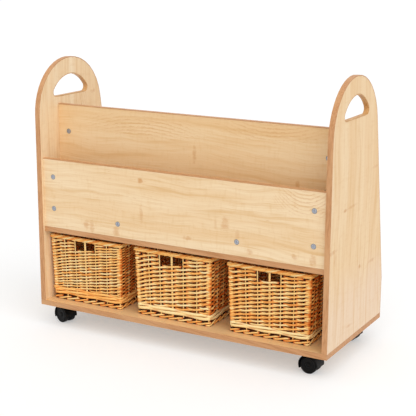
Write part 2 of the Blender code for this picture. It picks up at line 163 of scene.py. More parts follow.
world = bpy.data.worlds.new("sky")
world.use_nodes = True
bpy.context.scene.world = world
strength = seen_ray(Tone(world.node_tree)) * (1 - SKY_LIGHT) + SKY_LIGHT
background = world.node_tree.nodes["Background"]
background.inputs["Color"].default_value = grey(1)
feed(strength, background.inputs["Strength"])

lamp_data = bpy.data.lights.new("lamp", "SUN")
lamp_data.energy = LAMP_STRENGTH
lamp_data.angle = LAMP_SPREAD
lamp = bpy.data.objects.new("lamp", lamp_data)
lamp.rotation_euler = (LAMP_LEAN, 0, LAMP_TURN)
bpy.context.scene.collection.objects.link(lamp)

camera_data = bpy.data.cameras.new("camera")
camera_data.sensor_fit = "HORIZONTAL"
camera_data.sensor_width = CAMERA_SENSOR
camera_data.lens = CAMERA_LENS
camera = bpy.data.objects.new("camera", camera_data)
camera.matrix_world = (Matrix.Translation(CAMERA_PLACE)
                       @ Matrix.Rotation(CAMERA_TURN, 4, "Z")
                       @ Matrix.Rotation(pi / 2 - CAMERA_TILT, 4, "X")
                       @ Matrix.Rotation(CAMERA_ROLL, 4, "Z"))
bpy.context.scene.collection.objects.link(camera)
bpy.context.scene.camera = camera
bpy.context.scene.view_settings.view_transform = "Standard"


# The boards. Chipboard 15 mm thick, faced on both sides with satin melamine that is printed
# as pale maple in strips, each with its own tone and soft streaks, with brown smudges where
# strips end and here and there a run of flame-shaped lines. The grain runs along each board.
MAPLE, MAPLE_PALE, MAPLE_DEEP = (238, 203, 156), (247, 222, 184), (223, 179, 120)
MAPLE_GOLDEN, MAPLE_ROSE, MAPLE_MARK = (226, 178, 116), (240, 214, 188), (204, 138, 70)
STRIP_WIDE = 0.068
GRAIN_WANDER = 0.060
ROSE_FOOT, ROSE_TOP, ROSE_RAGGED = 0.09, 0.25, 0.12
FLAME_STEP, FLAME_RAGGED = 0.0100, 0.0022
MARK_EDGE, MARK_CORE, MARK_RAGGED = 1.9, -0.4, 6
# The noises of the print: cycles to the metre along and across the grain, detail, roughness.
SWAY, BROAD, STREAK = (3.2, 6, 2.0, 0.5), (1.6, 30, 2.0, 0.5), (4, 80, 3.0, 0.6)
THREAD, CURL = (14, 560, 2.0, 0.5), (120, 36, 1.0, 0.5)
FLECK, RAGGED = (45, 420, 1.0, 0.5), (60, 90, 4.0, 0.7)
# How much each layer of the print covers what lies under it.
STRIP_SHARE, BROAD_SHARE, ROSE_SHARE = 0.46, 0.54, 0.75
STREAK_SHARE, CURL_SHARE, THREAD_SHARE = 0.66, 0.17, 0.42
FLAME_SHARE, SMUDGE_GAIN, FLECK_SHARE = 0.36, 1.4, 0.34
# Where in its noise a layer begins to show, and where it shows in full.
BROAD_SPAN, STREAK_SPAN, CURL_SPAN = (0.34, 0.66), (0.44, 0.74), (0.5, 0.75)
THREAD_SPAN, FLECK_SPAN, FLAME_SPAN = (0.45, 0.75), (0.70, 0.78), (0.1, 1.0)
# Here and below, a roughness is its least value and what the noise adds to it, and a bump
# is its strength and its depth.
MELAMINE_ROUGH, MELAMINE_SHINE, MELAMINE_BUMP = (0.40, 0.10), 0.35, (0.2, 0.0002)
BOARD_EDGE = 0.0004
SHARP = radians(40)


def soften(piece, width):
    """Rounds the edges of a rigid piece a little, as they are in use."""
    bevel = piece.modifiers.new("edges", "BEVEL")
    bevel.width = width
    bevel.segments = 2
    bevel.limit_method = "ANGLE"
    bevel.angle_limit = SHARP
    bevel.harden_normals = False


def dress(piece, finish):
    """Gives a piece that finish and no other."""
    piece.data.materials.clear()
    piece.data.materials.append(finish)


def colour(red, green, blue):
    """A colour read off in 0 to 255, as the linear values that a shader takes."""
    return (*[(v / 255 / 12.92) if v <= 10 else ((v / 255 + 0.055) / 1.055) ** 2.4
              for v in (red, green, blue)], 1)


def towards(first, second, part):
    """A colour part of the way from one to another, as a shader takes it."""
    return colour(*[a + (b - a) * part for a, b in zip(first, second)])


def emboss(start, sockets, height, strength, distance):
    """Raises the surface where that tone is high."""
    feed(start.add("Bump", {}, {"Strength": strength, "Distance": distance, "Height": height}),
         sockets["Normal"])


def grain_place(start, axes, corner=(0.0, 0.0, 0.0)):
    """Metres from that corner as three tones: along the grain, across it, and through it."""
    place = start.add("TexCoord", {}, {}, "Object")
    place = start.add("VectorMath", {"operation": "SUBTRACT"}, {0: place, 1: corner})
    return [start.add("SeparateXYZ", {}, {"Vector": place}, axis) for axis in axes]


def noise(start, along, across, into, seed, kind):
    """Noise from 0 to 1, about 0.5, at that place in the grain."""
    lengthwise, crosswise, detail, rough = kind
    vector = start.add("CombineXYZ", {}, {"X": along * lengthwise, "Y": across * crosswise,
                                          "Z": into * crosswise})
    return start.add("TexNoise", {"noise_dimensions": "4D"},
                     {"Vector": vector, "W": seed, "Scale": 1.0, "Detail": detail,
                      "Roughness": rough})


def smudge(along, across, ragged, mark):
    """1 in the middle of a mark in the print, falling to 0 at its ragged edge."""
    middle, level, half_long, half_high, _ = mark
    length = (along - middle) * (1 / half_long)
    height = (across - level) * (1 / half_high)
    return (length * length + height * height + ragged).between(MARK_EDGE, MARK_CORE)


def flame(along, across, ragged, mark):
    """Fine lines of the print that bend round a point, as a sawn trunk's rings do."""
    middle, _, _, _, bend = mark
    length = along - middle
    rise = across - length * length * bend + ragged * FLAME_RAGGED
    lines = rise.maths("SINE", rise * (2 * pi / FLAME_STEP)).between(*FLAME_SPAN)
    return lines * smudge(along, across, ragged, mark)


def maple_facing(board, axes, seed, seam, golden, rosy, flames, smudges):
    """Maple-printed melamine, its grain along the first axis of the three."""
    made, sockets, start = material(board + "_maple")
    along, across, into = grain_place(start, axes, tuple(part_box(board)[0]))
    bent = across + (noise(start, along, across, into, seed, SWAY) - 0.5) * GRAIN_WANDER
    strip = start.maths("FLOOR", (across - seam) * (1 / STRIP_WIDE))
    own = start.add("TexWhiteNoise", {"noise_dimensions": "1D"}, {"W": strip + seed}, "Value")
    broad, streak, thread, fleck = [noise(start, along, bent, into, seed, kind)
                                    for kind in (BROAD, STREAK, THREAD, FLECK)]
    curl = noise(start, along, across, into, seed, CURL)
    ragged = (noise(start, along, across, into, seed, RAGGED) - 0.5) * MARK_RAGGED
    tone = (own * STRIP_SHARE + broad.between(*BROAD_SPAN) * BROAD_SHARE).mix(
        towards(MAPLE, MAPLE_GOLDEN, golden), towards(MAPLE_PALE, MAPLE_GOLDEN, golden))
    if rosy:
        foot = (along + (broad - 0.5) * ROSE_RAGGED).between(ROSE_TOP, ROSE_FOOT)
        tone = (foot * ROSE_SHARE).mix(tone, colour(*MAPLE_ROSE))
    deep = towards(MAPLE_DEEP, MAPLE_GOLDEN, golden)
    tone = (streak.between(*STREAK_SPAN) * STREAK_SHARE).mix(tone, deep)
    tone = (curl.between(*CURL_SPAN) * CURL_SHARE
            + thread.between(*THREAD_SPAN) * THREAD_SHARE).mix(tone, deep)
    brown = colour(*MAPLE_MARK)
    for mark in flames:
        tone = (flame(along, across, ragged, mark) * FLAME_SHARE).mix(tone, brown)
    for mark in smudges:
        share = mark[-1] * SMUDGE_GAIN
        tone = (smudge(along, across, ragged, mark) * share).mix(tone, brown)
    feed((fleck.between(*FLECK_SPAN) * FLECK_SHARE).mix(tone, brown), sockets["Base Color"])
    feed(MELAMINE_ROUGH[0] + streak * MELAMINE_ROUGH[1], sockets["Roughness"])
    sockets["Specular IOR Level"].default_value = MELAMINE_SHINE
    emboss(start, sockets, thread, *MELAMINE_BUMP)
    return made


# Each board's print: the axes along, across and through its grain, its own seed, where a
# strip's edge lies, how golden it is (below 0, paler), and whether its foot is rosy. Then its
# runs of flame lines (along, across, half length, half height, bend), and its smudges, with
# a strength in place of the bend. All are metres from the board's lowest corner.
board_prints = {
    "base_board": ("XYZ", 0.3, 0.020, 0.50, False, [], []),
    "left_end_panel": ("ZYX", 1.7, 0.041, -0.12, False, [(0.52, 0.21, 0.10, 0.035, 2.4)],
                       [(0.33, 0.13, 0.005, 0.020, 0.35), (0.61, 0.27, 0.006, 0.014, 0.30)]),
    "right_end_panel": ("ZYX", 4.1, 0.041, 0.16, True, [],
                        [(0.374, 0.095, 0.0045, 0.011, 0.50), (0.376, 0.142, 0.004, 0.034, 0.26),
                         (0.276, 0.018, 0.006, 0.024, 0.34), (0.255, 0.034, 0.016, 0.009, 0.20),
                         (0.189, 0.214, 0.005, 0.010, 0.42), (0.184, 0.308, 0.005, 0.027, 0.30),
                         (0.456, 0.309, 0.005, 0.020, 0.24), (0.036, 0.150, 0.004, 0.020, 0.22)]),
    "basket_shelf": ("XYZ", 2.9, 0.030, 0.25, False, [(0.30, 0.12, 0.14, 0.04, 1.2)],
                     [(0.62, 0.07, 0.006, 0.020, 0.35)]),
    "front_book_panel": ("XZY", 5.3, 0.036, 0.0, False, [(0.850, 0.176, 0.085, 0.036, 7.0)],
                         [(0.341, 0.176, 0.008, 0.006, 0.48), (0.344, 0.077, 0.005, 0.026, 0.24),
                          (0.615, 0.084, 0.011, 0.018, 0.30), (0.585, 0.080, 0.005, 0.014, 0.16),
                          (0.652, 0.058, 0.006, 0.014, 0.16), (0.152, 0.024, 0.010, 0.012, 0.34),
                          (0.172, 0.018, 0.008, 0.018, 0.26), (0.258, 0.015, 0.011, 0.014, 0.32),
                          (0.497, 0.029, 0.014, 0.006, 0.32), (0.690, 0.018, 0.009, 0.007, 0.28),
                          (0.824, 0.022, 0.008, 0.008, 0.28), (0.876, 0.018, 0.009, 0.015, 0.34)]),
    "book_divider": ("XZY", 7.2, 0.055, 0.30, False, [(0.30, 0.315, 0.16, 0.030, -0.9),
                                                      (0.71, 0.335, 0.12, 0.028, 1.3)],
                     [(0.47, 0.25, 0.006, 0.022, 0.30), (0.79, 0.19, 0.006, 0.020, 0.30)]),
    "rear_book_panel": ("XZY", 8.6, 0.030, 0.15, False, [(0.25, 0.26, 0.15, 0.040, 1.1)],
                        [(0.66, 0.20, 0.006, 0.024, 0.30), (0.41, 0.06, 0.010, 0.014, 0.30)]),
    "rear_trough_panel": ("XZY", 9.4, 0.045, 0.10, False, [],
                          [(0.58, 0.05, 0.007, 0.020, 0.28), (0.21, 0.08, 0.010, 0.010, 0.28)]),
}
for board, printed in board_prints.items():
    dress(nodes[board], maple_facing(board, *printed))
    soften(nodes[board], BOARD_EDGE)


# The edging. Warm brown plastic strip 2 mm thick, printed with a faint slanting grain, glued
# round every board edge that shows and trimmed flush, with its corners just broken. The
# strip that lines the hand holes is more golden.
EDGING_TONES = ((206, 152, 105), (186, 130, 83), (216, 168, 120))
HOLE_TONES = ((218, 170, 112), (198, 144, 84), (230, 188, 134))
EDGING_STREAK, EDGING_CLOUD = (14, 240, 3.0, 0.6), (5, 30, 2.0, 0.5)
EDGING_STREAK_SPAN, EDGING_CLOUD_SPAN, CLOUD_SHARE = (0.40, 0.68), (0.45, 0.7), 0.55
EDGING_SLANT = 0.12
EDGING_ROUGH, EDGING_SHINE = (0.42, 0.12), 0.35
EDGING_EDGE = 0.0005


def edging_strip(name, axes, seed, tones):
    """Printed edging, its streaks along the first axis, in a middle, deep and pale tone."""
    made, sockets, start = material(name)
    along, across, into = grain_place(start, axes)
    slant = across + along * EDGING_SLANT
    streak = noise(start, along, slant, into, seed, EDGING_STREAK)
    cloud = noise(start, along, across, into, seed, EDGING_CLOUD)
    middle, deep, pale = [colour(*tone) for tone in tones]
    tone = streak.between(*EDGING_STREAK_SPAN).mix(middle, deep)
    feed((cloud.between(*EDGING_CLOUD_SPAN) * CLOUD_SHARE).mix(tone, pale), sockets["Base Color"])
    feed(EDGING_ROUGH[0] + streak * EDGING_ROUGH[1], sockets["Roughness"])
    sockets["Specular IOR Level"].default_value = EDGING_SHINE
    return made


lengthwise = edging_strip("edging_lengthwise", "XZY", 0.4, EDGING_TONES)
upwards = edging_strip("edging_upwards", "ZYX", 1.1, EDGING_TONES)
round_holes = edging_strip("edging_round_holes", "YZX", 2.3, HOLE_TONES)
band_finish = {part + "_edge_band": lengthwise
               for part in ("base", "shelf", "front_panel", "divider", "rear_panel",
                            "rear_trough")}
for end in ("left", "right"):
    band_finish[end + "_end_edge_band"] = upwards
    band_finish[end + "_hand_hole_band"] = round_holes
for band, finish in band_finish.items():
    dress(nodes[band], finish)
    soften(nodes[band], EDGING_EDGE)


# The cam locks. Zinc die castings 15 mm across, let into the boards flush with their faces,
# with a cross slot for the screwdriver that draws the joint tight.
ZINC, ZINC_DULL, ZINC_RIM_SHADE = colour(196, 199, 206), colour(160, 165, 176), colour(88, 93, 108)
ZINC_METALLIC, ZINC_ROUGH, ZINC_BUMP = 0.85, (0.34, 0.2), (0.2, 0.0001)
ZINC_BLOTCHES, ZINC_SPAN = (520.0, 3.0), (0.35, 0.7)
METAL_EDGE = 0.0002
# The painted shade of a dark ring near the rim, as in a recess, by the square of the way
# from the middle, where the lock is 1 across.
RIM_SHADE_SPAN, RIM_SHADE_SHARE = (0.08, 0.24), 0.65


def mottle(start, scale, detail):
    """Noise from 0 to 1, as fine one way as another, of so many cycles to the metre."""
    place = start.add("TexCoord", {}, {}, "Object")
    return start.add("TexNoise", {}, {"Vector": place, "Scale": scale, "Detail": detail})


zinc, sockets, start = material("zinc_casting", ZINC_METALLIC)
blotch = mottle(start, *ZINC_BLOTCHES)
in_box = start.add("TexCoord", {}, {}, "Generated")
across, up = [start.add("SeparateXYZ", {}, {"Vector": in_box}, axis) - 0.5 for axis in "XZ"]
# Painted shade in a ring near the lock's rim.
rim = (across * across + up * up).between(*RIM_SHADE_SPAN)
metal = blotch.between(*ZINC_SPAN).mix(ZINC, ZINC_DULL)
feed((rim * RIM_SHADE_SHARE).mix(metal, ZINC_RIM_SHADE), sockets["Base Color"])
feed(ZINC_ROUGH[0] + blotch * ZINC_ROUGH[1], sockets["Roughness"])
emboss(start, sockets, blotch, *ZINC_BUMP)
for node in sorted(nodes):
    if "_cam_lock_" in node:
        dress(nodes[node], zinc)
        soften(nodes[node], METAL_EDGE)


# The castors. Black moulded nylon bodies and twin wheels of 50 mm, on a zinc-plated steel
# axle, under a pressed steel plate that is screwed to the base board.
NYLON, NYLON_WORN = colour(5, 4, 4), colour(13, 12, 12)
NYLON_PEBBLES, NYLON_SCUFFS, SCUFF_SPAN = (900.0, 2.0), (60.0, 4.0), (0.5, 0.75)
NYLON_ROUGH, NYLON_SHINE, NYLON_BUMP = (0.38, 0.2), 0.15, (0.15, 0.0001)
NYLON_EDGE = 0.0004
STEEL, STEEL_DULL = colour(188, 190, 192), colour(150, 152, 155)
STEEL_METALLIC, STEEL_ROUGH = 0.9, (0.28, 0.2)
STEEL_BRUSH, BRUSH_SPAN = (300.0, 3.0), (0.3, 0.7)

nylon, sockets, start = material("black_nylon_moulding")
scuff = mottle(start, *NYLON_SCUFFS)
feed(scuff.between(*SCUFF_SPAN).mix(NYLON, NYLON_WORN), sockets["Base Color"])
feed(NYLON_ROUGH[0] + scuff * NYLON_ROUGH[1], sockets["Roughness"])
sockets["Specular IOR Level"].default_value = NYLON_SHINE
emboss(start, sockets, mottle(start, *NYLON_PEBBLES), *NYLON_BUMP)

plating, sockets, start = material("plated_steel", STEEL_METALLIC)
brush = mottle(start, *STEEL_BRUSH)
feed(brush.between(*BRUSH_SPAN).mix(STEEL, STEEL_DULL), sockets["Base Color"])
feed(STEEL_ROUGH[0] + brush * STEEL_ROUGH[1], sockets["Roughness"])
for node in sorted(nodes):
    if node.startswith(("castor_body_", "castor_wheel_")):
        dress(nodes[node], nylon)
        soften(nodes[node], NYLON_EDGE)
    if node.startswith(("castor_plate_", "castor_axle_")):
        dress(nodes[node], plating)
        soften(nodes[node], METAL_EDGE)


# The baskets. Split willow and cane, woven by hand round upright stakes, each weaver in
# front of one stake and behind the next, and turned back at the two finger holes in the
# front and the rear. Thicker waling starts the wall, and plaited borders close top and foot.
# First its outside: half its length and depth, its height, how much narrower its foot is,
# how far the wall lies in from its box and the weavers' middle in from the wall's face,
# its corners' radii, the borders' sizes, and the heights of waling, weavers and holes.
BASKET_HALF = (0.131, 0.12675)
BASKET_HEIGHT = 0.204
BASKET_TAPER = 0.0065
WALL_INSET = 0.002
WALL_MIDDLE = -0.0045
CORNER, INNER_CORNER = 0.0080, 0.0015
RIM_TALL, RIM_THICK = 0.0130, 0.0130
FOOT_TALL, FOOT_THICK = 0.0135, 0.0085
WALE_LOW, WALL_HIGH, HOLE_LOW = 0.0178, 0.1885, 0.1660
SIDE_SAMPLES, CORNER_SAMPLES = 72, 5
# Each basket's own weave: its rows of weavers and its waling rods, how high the waling
# reaches and its tint, how far the middle rows climb to the right, the front stakes from
# the middle, and the weavers' tint. A tint is 0 for brown and 1 for pale.
Weave = namedtuple("Weave", "rows rods wale_high wale_tint climb stakes tint")
WEAVES = {
    "left": Weave(33, 3, 0.0395, 0.45, 0.0080,
                  (-0.1010, -0.0750, -0.0380, -0.0020, 0.0337, 0.0732, 0.1060), 0.64),
    "middle": Weave(26, 2, 0.0350, 0.96, 0.0085,
                    (-0.1040, -0.0785, -0.0420, -0.0018, 0.0350, 0.0795, 0.1080), 0.62),
    "right": Weave(28, 2, 0.0320, 0.90, 0.0060,
                   (-0.1020, -0.0705, -0.0342, 0.0020, 0.0355, 0.0750, 0.1050), 0.50),
}
EVEN_STAKES = (-0.102, -0.072, -0.036, 0.0, 0.036, 0.072, 0.102)
# Stakes are counted round from the front's left one, a corner stake after each face's seven.
# Those next to the corners only guide the weavers. A row beside the holes runs from right
# of the front ones to the near side of the rear ones, and from there on round to the left
# of the front ones, past stake 32.
FACE_STAKES, ALL_STAKES = 8, 32
UNDRAWN_OF_FACE, CORNER_OF_FACE = (0, 6), 7
DOUBLED_STAKES = (3, 19)
BESIDE_HOLES = ((4, 18), (20, 34))


def basket_round():
    """The four faces and corners of a basket as fixed parts of its outline: how far each
    sample lies towards a corner's centre, and the outward direction there."""
    middles, outward = [], []
    faces = (((-1, -1), (1, -1), (0, -1)), ((1, -1), (1, 1), (1, 0)),
             ((1, 1), (-1, 1), (0, 1)), ((-1, 1), (-1, -1), (-1, 0)))
    for (ax, ay), (bx, by), (nx, ny) in faces:
        for k in range(SIDE_SAMPLES):
            part = k / SIDE_SAMPLES
            middles.append((ax + (bx - ax) * part, ay + (by - ay) * part))
            outward.append((nx, ny))
        for k in range(CORNER_SAMPLES):
            turn = pi / 2 * k / CORNER_SAMPLES
            middles.append((bx, by))
            outward.append((nx * cos(turn) - ny * sin(turn), nx * sin(turn) + ny * cos(turn)))
    return np.array(middles, float), np.array(outward, float)


middles, outward = basket_round()
outward_level = np.concatenate([outward, np.zeros((len(outward), 1))], 1)
full = np.ones(len(middles))


def on_wall(z, out):
    """Points round the basket at heights z, let out from the wall's outer face by out."""
    radius = np.maximum(CORNER + out, INNER_CORNER)
    spread = BASKET_TAPER * (z / BASKET_HEIGHT - 1) - WALL_INSET + out - radius
    x = middles[:, 0] * (BASKET_HALF[0] + spread) + outward[:, 0] * radius
    y = middles[:, 1] * (BASKET_HALF[1] + spread) + outward[:, 1] * radius
    return np.stack([x, y, np.broadcast_to(z, x.shape)], 1)


half_way = on_wall(BASKET_HEIGHT / 2 * full, WALL_MIDDLE)
steps = np.linalg.norm(np.roll(half_way, -1, 0) - half_way, axis=1)
run = np.concatenate([[0], np.cumsum(steps)[:-1]])
girth = steps.sum()


def from_place(place):
    """How far each sample lies from a place on the way round, to the nearer side."""
    return (run - place + girth / 2) % girth - girth / 2


def stake_runs(weave):
    """How far round each stake stands, in order from the front's left stake."""
    found = []
    for face, places in enumerate((weave.stakes, EVEN_STAKES, EVEN_STAKES, EVEN_STAKES)):
        first = face * (SIDE_SAMPLES + CORNER_SAMPLES)
        start, length = run[first], run[first + SIDE_SAMPLES] - run[first]
        found += [start + length / 2 + place for place in places]
        found.append(run[first + SIDE_SAMPLES + CORNER_SAMPLES // 2])
    return np.array(found)


def weave_phase(stakes):
    """A count that passes a whole number at each stake on the way round."""
    around = np.concatenate([stakes - girth, stakes, stakes + girth])
    return np.interp(run, around, np.arange(-ALL_STAKES, 2 * ALL_STAKES))


# A strand of the weave: its points, the outward direction at each, its half height and half
# thickness, whether it closes on itself, its tint, and how deep in the weave each point
# lies, from 0 to 1, seen from outside, which the cane's finish turns into painted shade.
# Each strand's fibres lie some way apart from the last one's, and a side faces inward where
# it turns this far from the outward direction.
Strand = namedtuple("Strand", "points out tall thick closed tint deep")
STRAND_SIDES = 6
STRAND_APART = 0.173
FACES_INWARD = -0.5


def strand_mesh(name, strands):
    """One mesh of many strands. The inner side of a strand is deep where its outer side is
    not, so it takes the painted shade there. Its points carry the tint, the depth for the
    painted shade, and a place in the strand for its fibres."""
    verts, faces, tints, depths, fibres = [], [], [], [], []
    turns = np.arange(STRAND_SIDES) * 2 * pi / STRAND_SIDES + pi / STRAND_SIDES
    base = 0
    for number, strand in enumerate(strands):
        points, count = strand.points, len(strand.points)
        if strand.closed:
            along = np.roll(points, -1, 0) - np.roll(points, 1, 0)
        else:
            along = np.gradient(points, axis=0)
        along /= np.linalg.norm(along, axis=1)[:, None]
        edge = np.cross(along, strand.out)
        edge /= np.linalg.norm(edge, axis=1)[:, None]
        face = np.cross(edge, along)
        tall = np.broadcast_to(strand.tall, count)[:, None, None]
        thick = np.broadcast_to(strand.thick, count)[:, None, None]
        ring = (points[:, None] + face[:, None] * np.cos(turns)[None, :, None] * thick
                + edge[:, None] * np.sin(turns)[None, :, None] * tall)
        verts.append(ring.reshape(-1, 3))
        tints.append(np.repeat(np.broadcast_to(strand.tint, count), STRAND_SIDES))
        deep = np.broadcast_to(strand.deep, count)[:, None]
        from_inside = deep.max() + deep.min() - deep
        depths.append(np.where(np.cos(turns) < FACES_INWARD, from_inside, deep).ravel())
        far = np.concatenate([[0], np.cumsum(np.linalg.norm(np.diff(points, axis=0), axis=1))])
        fibres.append(np.stack([np.repeat(far, STRAND_SIDES), np.tile(np.sin(turns), count),
                                np.full(count * STRAND_SIDES, number * STRAND_APART)], 1))
        i, j = np.meshgrid(np.arange(count if strand.closed else count - 1),
                           np.arange(STRAND_SIDES), indexing="ij")
        here, beyond = i * STRAND_SIDES, (i + 1) % count * STRAND_SIDES
        beside = (j + 1) % STRAND_SIDES
        quads = np.stack([here + j, here + beside, beyond + beside, beyond + j], 2)
        faces += (quads.reshape(-1, 4) + base).tolist()
        if not strand.closed:
            faces.append([base + k for k in range(STRAND_SIDES - 1, -1, -1)])
            faces.append([base + (count - 1) * STRAND_SIDES + k for k in range(STRAND_SIDES)])
        base += count * STRAND_SIDES
    mesh = bpy.data.meshes.new(name)
    mesh.from_pydata(np.concatenate(verts).tolist(), [], faces)
    for value, rows in (("tint", tints), ("deep", depths)):
        attribute = mesh.attributes.new(value, "FLOAT", "POINT")
        attribute.data.foreach_set("value", np.concatenate(rows))
    attribute = mesh.attributes.new("strand", "FLOAT_VECTOR", "POINT")
    attribute.data.foreach_set("vector", np.concatenate(fibres).ravel())
    mesh.shade_smooth()
    mesh.validate()
    return mesh


RODS_A_ROW = 7


def tint_round(pick, middle, swing):
    """The tint of a row, which changes where one rod ends and the next is laid in."""
    places = np.sort([pick.random() * girth for _ in range(RODS_A_ROW)])
    values = [middle + swing * (pick.random() * 2 - 1) for _ in places]
    around = np.concatenate([places - girth, places, places + girth])
    return np.interp(run, around, values * 3)


# The weavers: how far they swing in and out and how flat they lie between, how they slant
# from stake to stake, how uneven a row is and at how many places, how a corner calms and
# pushes them, half their height as a part of a row's, and how much painted shade darkens
# and browns the end walls, which face the narrow gaps between the baskets.
WEAVER_THICK, SWING, SWING_POWER = 0.0028, 0.0034, 1.5
ROW_SLANT = 0.30
UNEVEN, UNEVEN_PLACES = 0.0012, 16
CORNER_REACH, CORNER_CALM, CORNER_PUSH = 0.009, 0.8, 0.0016
WEAVER_FILL, FILL_SWING, FILL_LEAST, FILL_SPREAD = 0.54, 0.07, 0.92, 0.14
WEAVER_TINT_SWING, END_WALL_SHADE_DEPTH, END_WALL_SHADE_BROWNING = 0.34, 0.12, 0.40


def wall_strands(weave, pick):
    """The rows of weavers of a basket's wall, split where they turn back at the holes. Each
    passes close in front of one stake and behind the next, and lies flush between them."""
    stakes = stake_runs(weave)
    phase = weave_phase(stakes)
    at_corner = sum(np.exp(-(from_place(place) / CORNER_REACH) ** 2)
                    for place in stakes[CORNER_OF_FACE::FACE_STAKES])
    pitch = (WALL_HIGH - weave.wale_high) / weave.rows
    end_wall = np.abs(outward[:, 0])
    strands = []
    for row in range(weave.rows):
        part = (row + 0.5) / weave.rows
        level = weave.wale_high + (WALL_HIGH - weave.wale_high) * part
        swing = np.cos(pi * (phase + row))
        beat = np.sign(swing) * np.abs(swing) ** SWING_POWER * (1 - CORNER_CALM * at_corner)
        out = WALL_MIDDLE + SWING * beat + CORNER_PUSH * at_corner
        z = level + ROW_SLANT * pitch * np.sin(pi * (phase + row)) * (1 - at_corner)
        z = z + weave.climb * 4 * part * (1 - part) * middles[:, 0]
        z = z + UNEVEN * np.interp(run, np.linspace(0, girth, UNEVEN_PLACES + 1),
                                   [pick.random() - 0.5 for _ in range(UNEVEN_PLACES)] + [0])
        points = on_wall(np.minimum(z, WALL_HIGH), out)
        tall = (pitch * WEAVER_FILL * (1 - FILL_SWING * beat)
                * (FILL_LEAST + FILL_SPREAD * pick.random()))
        # Painted shade: deeper where the weaver dips behind a stake, and deeper and browner on the
        # end walls.
        deep = (1 - beat) / 2 + END_WALL_SHADE_DEPTH * end_wall
        tint = (tint_round(pick, weave.tint, WEAVER_TINT_SWING)
                - END_WALL_SHADE_BROWNING * end_wall)
        if level < HOLE_LOW:
            strands.append(Strand(points, outward_level, tall, WEAVER_THICK / 2, True,
                                  tint, deep))
            continue
        for first, last in BESIDE_HOLES:
            begin = stakes[first]
            finish = stakes[last % ALL_STAKES] + girth * (last // ALL_STAKES)
            inside = np.nonzero(((run - begin) % girth) < (finish - begin))[0]
            inside = inside[np.argsort((run[inside] - begin) % girth)]
            strands.append(Strand(points[inside], outward_level[inside], tall[inside],
                                  WEAVER_THICK / 2, False, tint[inside], deep[inside]))
    return strands


# The stakes: their radii, where they begin, how much further in a corner's stands, half
# the way between two that stand together, and their tint.
STAKE, CORNER_STAKE = 0.0018, 0.0021
STAKE_FOOT, STAKE_POINTS = 0.008, 12
CORNER_STAKE_INWARD = 0.0012
PAIR_HALF_APART = 0.0014
STAKE_TINT, STAKE_TINT_SPREAD = 0.60, 0.25


def stake_strands(weave, pick):
    """The upright stakes inside the wall, doubled between the two finger holes."""
    strands = []
    heights = np.linspace(STAKE_FOOT, BASKET_HEIGHT - RIM_TALL / 2, STAKE_POINTS)
    for number, place in enumerate(stake_runs(weave)):
        of_face = number % FACE_STAKES
        if of_face in UNDRAWN_OF_FACE:
            continue
        sample = int(np.argmin(np.abs(from_place(place))))
        sideways = np.array([-outward[sample][1], outward[sample][0], 0])
        offset, depth, radius = -from_place(place)[sample], WALL_MIDDLE, STAKE
        if of_face == CORNER_OF_FACE:
            offset, depth, radius = 0, WALL_MIDDLE - CORNER_STAKE_INWARD, CORNER_STAKE
        line = np.array([on_wall(z * full, depth)[sample] for z in heights])
        doubled = number in DOUBLED_STAKES
        for step in (-PAIR_HALF_APART, PAIR_HALF_APART) if doubled else (0.0,):
            strands.append(Strand(line + sideways * (step + offset),
                                  np.tile(outward_level[sample], (STAKE_POINTS, 1)),
                                  radius, radius, False,
                                  STAKE_TINT + STAKE_TINT_SPREAD * pick.random(), 0.0))
    return strands


# The waling: how far in it lies, how far it swings and slants, how deep it counts at its
# middle for the painted shade, half its height as a part of a rod's pitch, its half
# thickness and its tint, and a brown rod behind it that fills the gap above the foot
# border, painted nearly black as shade.
WALE_OUT, WALE_SWING, WALE_SLANT, WALE_SHADE_DEPTH = -0.0024, 0.0020, 0.0012, 0.32
WALE_FILL, WALE_HALF_THICK, WALE_TINT_SWING = 0.56, 0.0022, 0.10
FILLER_LEVEL, FILLER_OUT, FILLER_TALL, FILLER_THICK = 0.0152, -0.0068, 0.0034, 0.0014
FILLER_TINT = 0.1


def wale_strands(weave, pick):
    """The waling: stout rods that pass in front of two stakes and behind the third."""
    phase = weave_phase(stake_runs(weave))
    pitch = (weave.wale_high - WALE_LOW) / weave.rods
    # The filler rod counts fully deep, so it is painted nearly black as shade.
    strands = [Strand(on_wall(FILLER_LEVEL * full, FILLER_OUT), outward_level, FILLER_TALL,
                      FILLER_THICK, True, FILLER_TINT, 1.0)]
    for row in range(weave.rods):
        turn = 2 * pi * (phase + row) / 3
        z = WALE_LOW + pitch * (row + 0.5) + WALE_SLANT * np.sin(turn)
        # Painted shade where each rod passes behind a stake.
        strands.append(Strand(on_wall(z, WALE_OUT + WALE_SWING * np.cos(turn)), outward_level,
                              pitch * WALE_FILL, WALE_HALF_THICK, True,
                              tint_round(pick, weave.wale_tint, WALE_TINT_SWING),
                              WALE_SHADE_DEPTH * (1 - np.cos(turn))))
    return strands


# The borders: the number of rods, their turns on the way round, their radius, their
# tints, and how deep a rod counts for the painted shade where it passes through the
# border's middle.
Border = namedtuple("Border", "rods turns radius tints sunk")
TOP_BORDER = Border(4, 13, 0.0034, (0.34, 0.74, 0.42, 0.60), 0.42)
FOOT_BORDER = Border(3, 10, 0.0027, (0.42, 0.62, 0.50), 0.80)
BORDER_TINT_SWING = 0.22


def border_strands(pick, level, out, tall, thick, border):
    """A border: rods laid round one another as a flat rope that runs round the basket."""
    strands = []
    for number in range(border.rods):
        turn = 2 * pi * (border.turns * run / girth + number / border.rods)
        z = level + (tall / 2 - border.radius) * np.sin(turn)
        away = out + (thick / 2 - border.radius) * np.cos(turn)
        strands.append(Strand(on_wall(z, away), outward_level, border.radius, border.radius,
                              True, tint_round(pick, border.tints[number], BORDER_TINT_SWING),
                              border.sunk * (1 - np.cos(turn))))
    return strands


